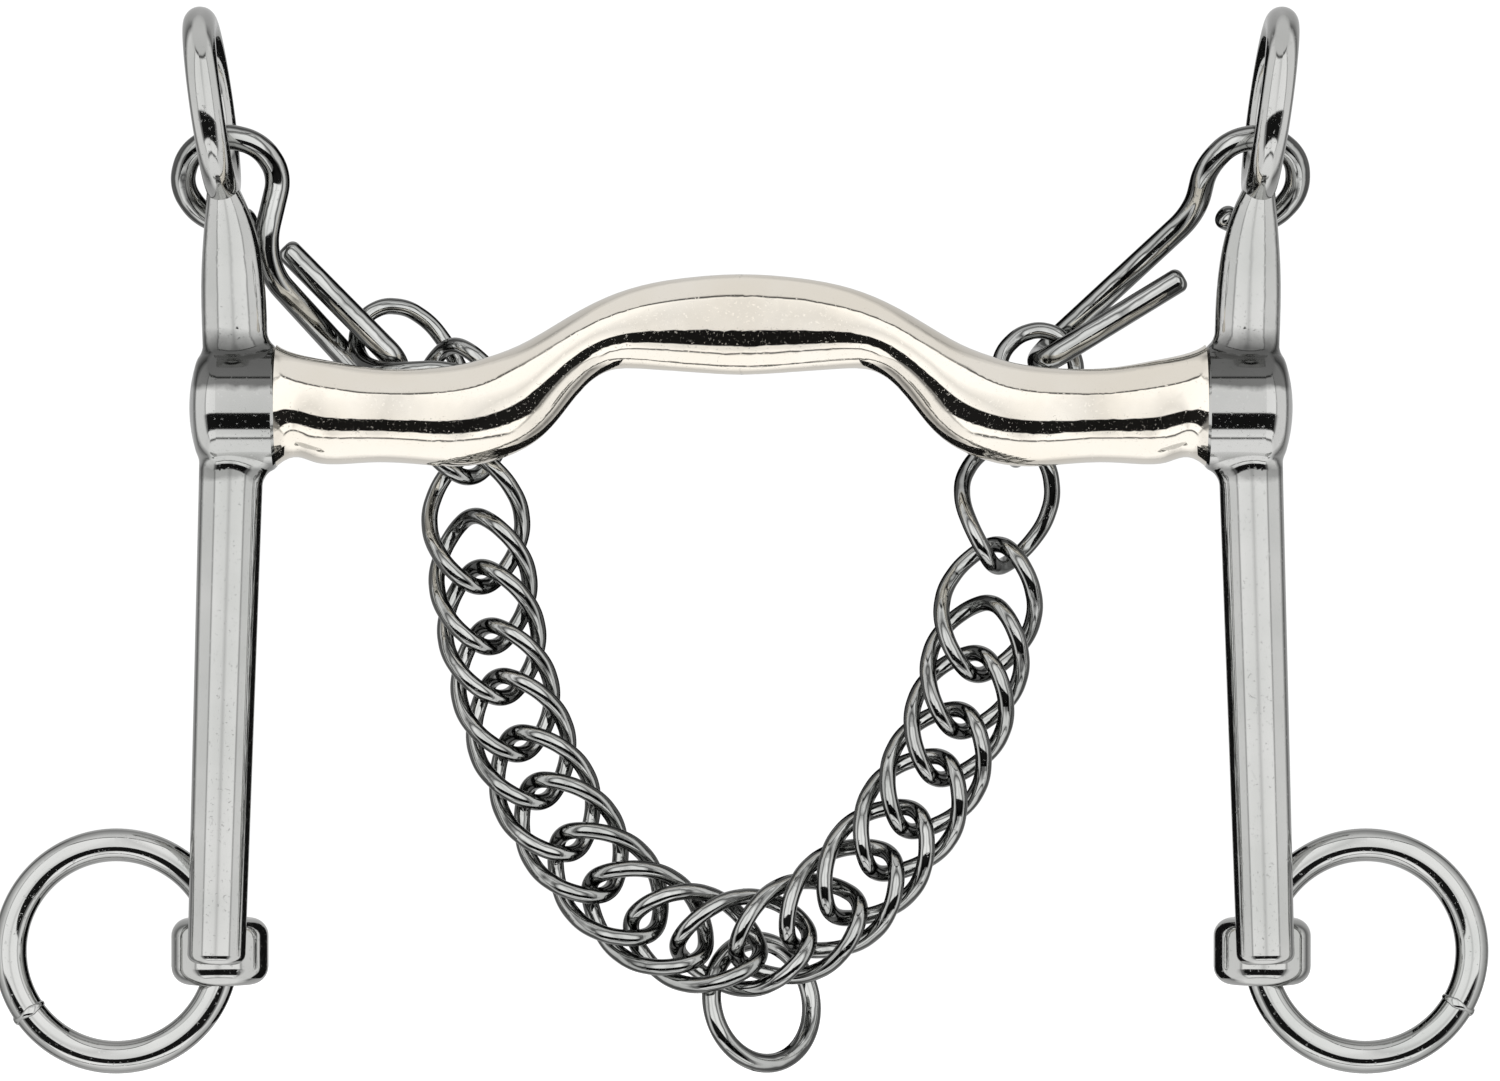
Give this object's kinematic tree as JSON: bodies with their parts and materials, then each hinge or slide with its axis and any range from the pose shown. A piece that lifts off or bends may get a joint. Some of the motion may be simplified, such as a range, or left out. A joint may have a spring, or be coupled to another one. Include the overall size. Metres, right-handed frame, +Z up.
{
  "type": "curb bit",
  "caption": "Low-port curb bit with fixed straight cheeks, swinging rein rings, curb hooks, a double-link curb chain and a lip-strap ring.",
  "frame": {"origin": "middle of the mouthpiece, level with the centres of the two cheek bosses", "axes": "+X along the mouthpiece to the right cheek as seen from the front of the bit, +Z up the cheeks to the bridle rings, +Y to the rear, where the curb chain hangs"},
  "size_m": [0.2156, 0.0376, 0.1539],
  "materials": {
    "pale_alloy": "mirror-polished pale gold alloy",
    "cheek_steel": "polished stainless steel",
    "chain_steel": "polished stainless steel wire"
  },
  "bodies": {
    "bit": {"mouthpiece": "pale_alloy", "left_cheek": "cheek_steel", "right_cheek": "cheek_steel"},
    "left_hook": {"left_curb_hook": "chain_steel"},
    "right_hook": {"right_curb_hook": "chain_steel"},
    "left_rein_ring": {"left_rein_ring": "cheek_steel"},
    "right_rein_ring": {"right_rein_ring": "cheek_steel"},
    "lip_strap_ring": {"lip_strap_ring": "chain_steel"},
    "link_01": {"curb_link_01": "chain_steel"},
    "link_02": {"curb_link_02": "chain_steel"},
    "link_03": {"curb_link_03": "chain_steel"},
    "link_04": {"curb_link_04": "chain_steel"},
    "link_05": {"curb_link_05": "chain_steel"},
    "link_06": {"curb_link_06": "chain_steel"},
    "link_07": {"curb_link_07": "chain_steel"},
    "link_08": {"curb_link_08": "chain_steel"},
    "link_09": {"curb_link_09": "chain_steel"},
    "link_10": {"curb_link_10": "chain_steel"},
    "link_11": {"curb_link_11": "chain_steel"},
    "link_12": {"curb_link_12": "chain_steel"},
    "link_13": {"curb_link_13": "chain_steel"},
    "link_14": {"curb_link_14": "chain_steel"},
    "link_15": {"curb_link_15": "chain_steel"},
    "link_16": {"curb_link_16": "chain_steel"},
    "link_17": {"curb_link_17": "chain_steel"},
    "link_18": {"curb_link_18": "chain_steel"},
    "link_19": {"curb_link_19": "chain_steel"},
    "link_20": {"curb_link_20": "chain_steel"},
    "link_21": {"curb_link_21": "chain_steel"},
    "link_22": {"curb_link_22": "chain_steel"},
    "link_23": {"curb_link_23": "chain_steel"}
  },
  "joints": [
    {"name": "left_hook_swing", "type": "hinge", "parent": "bit", "child": "left_hook", "pos_m": [-0.07582, 0, 0.04324], "axis": [1, 0, 0], "range_deg": [0, 45]},
    {"name": "right_hook_swing", "type": "hinge", "parent": "bit", "child": "right_hook", "pos_m": [0.07582, 0, 0.04324], "axis": [1, 0, 0], "range_deg": [0, 45]},
    {"name": "left_rein_ring_swing", "type": "hinge", "parent": "bit", "child": "left_rein_ring", "pos_m": [-0.0752, 0.00702, -0.0783], "axis": [0, 0, -1], "range_deg": [0, 180]},
    {"name": "right_rein_ring_swing", "type": "hinge", "parent": "bit", "child": "right_rein_ring", "pos_m": [0.0752, 0.00702, -0.0783], "axis": [0, 0, 1], "range_deg": [0, 180]},
    {"name": "link_01_roll", "type": "hinge", "parent": "left_hook", "child": "link_01", "pos_m": [-0.047, 0.01229, 0.0082], "axis": [0.8496, -0.2521, -0.4632], "range_deg": [-3, 3]},
    {"name": "link_02_roll", "type": "hinge", "parent": "left_hook", "child": "link_02", "pos_m": [-0.0406, 0.01216, -0.00035], "axis": [0.1392, 0, -0.9903], "range_deg": [-3, 3]},
    {"name": "link_03_roll", "type": "hinge", "parent": "left_hook", "child": "link_03", "pos_m": [-0.0385, 0.01216, -0.0162], "axis": [0.0962, 0, -0.9954], "range_deg": [-3, 3]},
    {"name": "link_04_roll", "type": "hinge", "parent": "left_hook", "child": "link_04", "pos_m": [-0.03746, 0.01216, -0.02502], "axis": [0.1419, 0, -0.9899], "range_deg": [-3, 3]},
    {"name": "link_05_roll", "type": "hinge", "parent": "left_hook", "child": "link_05", "pos_m": [-0.03621, 0.01216, -0.03238], "axis": [0.1928, 0, -0.9812], "range_deg": [-3, 3]},
    {"name": "link_06_roll", "type": "hinge", "parent": "left_hook", "child": "link_06", "pos_m": [-0.03425, 0.01216, -0.04073], "axis": [0.2678, 0, -0.9635], "range_deg": [-3, 3]},
    {"name": "link_07_roll", "type": "hinge", "parent": "left_hook", "child": "link_07", "pos_m": [-0.03196, 0.01216, -0.04783], "axis": [0.349, 0, -0.9371], "range_deg": [-3, 3]},
    {"name": "link_08_roll", "type": "hinge", "parent": "left_hook", "child": "link_08", "pos_m": [-0.02851, 0.01216, -0.05568], "axis": [0.4577, 0, -0.8891], "range_deg": [-3, 3]},
    {"name": "link_09_roll", "type": "hinge", "parent": "left_hook", "child": "link_09", "pos_m": [-0.02471, 0.01216, -0.0621], "axis": [0.5622, 0, -0.827], "range_deg": [-2, 2]},
    {"name": "link_10_roll", "type": "hinge", "parent": "left_hook", "child": "link_10", "pos_m": [-0.01935, 0.01216, -0.06878], "axis": [0.6893, 0, -0.7245], "range_deg": [-2, 2]},
    {"name": "link_11_roll", "type": "hinge", "parent": "left_hook", "child": "link_11", "pos_m": [-0.01359, 0.01216, -0.07367], "axis": [0.8372, 0, -0.547], "range_deg": [-1, 1]},
    {"name": "link_12_roll", "type": "hinge", "parent": "left_hook", "child": "link_12", "pos_m": [-0.00662, 0.01139, -0.07678], "axis": [0.9658, -0.0372, -0.2566], "range_deg": [-1, 1]},
    {"name": "link_13_roll", "type": "hinge", "parent": "left_hook", "child": "link_13", "pos_m": [0.00033, 0.01207, -0.07745], "axis": [0.9936, -0.0684, 0.0901], "range_deg": [-1, 1]},
    {"name": "link_14_roll", "type": "hinge", "parent": "left_hook", "child": "link_14", "pos_m": [0.00821, 0.01167, -0.0754], "axis": [0.9085, 0.044, 0.4155], "range_deg": [-1, 1]},
    {"name": "link_15_roll", "type": "hinge", "parent": "left_hook", "child": "link_15", "pos_m": [0.01455, 0.01209, -0.0711], "axis": [0.7481, 0.0082, 0.6635], "range_deg": [-1, 1]},
    {"name": "link_16_roll", "type": "hinge", "parent": "left_hook", "child": "link_16", "pos_m": [0.01945, 0.01216, -0.06586], "axis": [0.6342, 0, 0.7731], "range_deg": [-1, 1]},
    {"name": "link_17_roll", "type": "hinge", "parent": "left_hook", "child": "link_17", "pos_m": [0.02447, 0.01216, -0.05892], "axis": [0.5363, 0, 0.844], "range_deg": [-3, 3]},
    {"name": "link_18_roll", "type": "hinge", "parent": "left_hook", "child": "link_18", "pos_m": [0.02815, 0.01216, -0.05242], "axis": [0.4479, 0, 0.8941], "range_deg": [-3, 3]},
    {"name": "link_19_roll", "type": "hinge", "parent": "left_hook", "child": "link_19", "pos_m": [0.03155, 0.01216, -0.04455], "axis": [0.3465, 0, 0.938], "range_deg": [-3, 3]},
    {"name": "link_20_roll", "type": "hinge", "parent": "left_hook", "child": "link_20", "pos_m": [0.03384, 0.01216, -0.03745], "axis": [0.2681, 0, 0.9634], "range_deg": [-3, 3]},
    {"name": "link_21_roll", "type": "hinge", "parent": "left_hook", "child": "link_21", "pos_m": [0.0358, 0.01216, -0.0291], "axis": [0.1918, 0, 0.9814], "range_deg": [-3, 3]},
    {"name": "link_22_roll", "type": "hinge", "parent": "left_hook", "child": "link_22", "pos_m": [0.0384, 0.01373, -0.0134], "axis": [0.1625, 0.1736, 0.9713], "range_deg": [-3, 3]},
    {"name": "link_23_roll", "type": "hinge", "parent": "left_hook", "child": "link_23", "pos_m": [0.04222, 0.0147, 0.00201], "axis": [0.2357, -0.0255, 0.9715], "range_deg": [-3, 3]},
    {"name": "lip_strap_ring_swing", "type": "hinge", "parent": "left_hook", "child": "lip_strap_ring", "pos_m": [0.003, 0.01861, -0.07754], "axis": [1, 0, 0], "range_deg": [-1, 1]}
  ],
  "couplings": [
    {"joint": "right_hook_swing", "follows": "left_hook_swing", "ratio": 1}
  ]
}
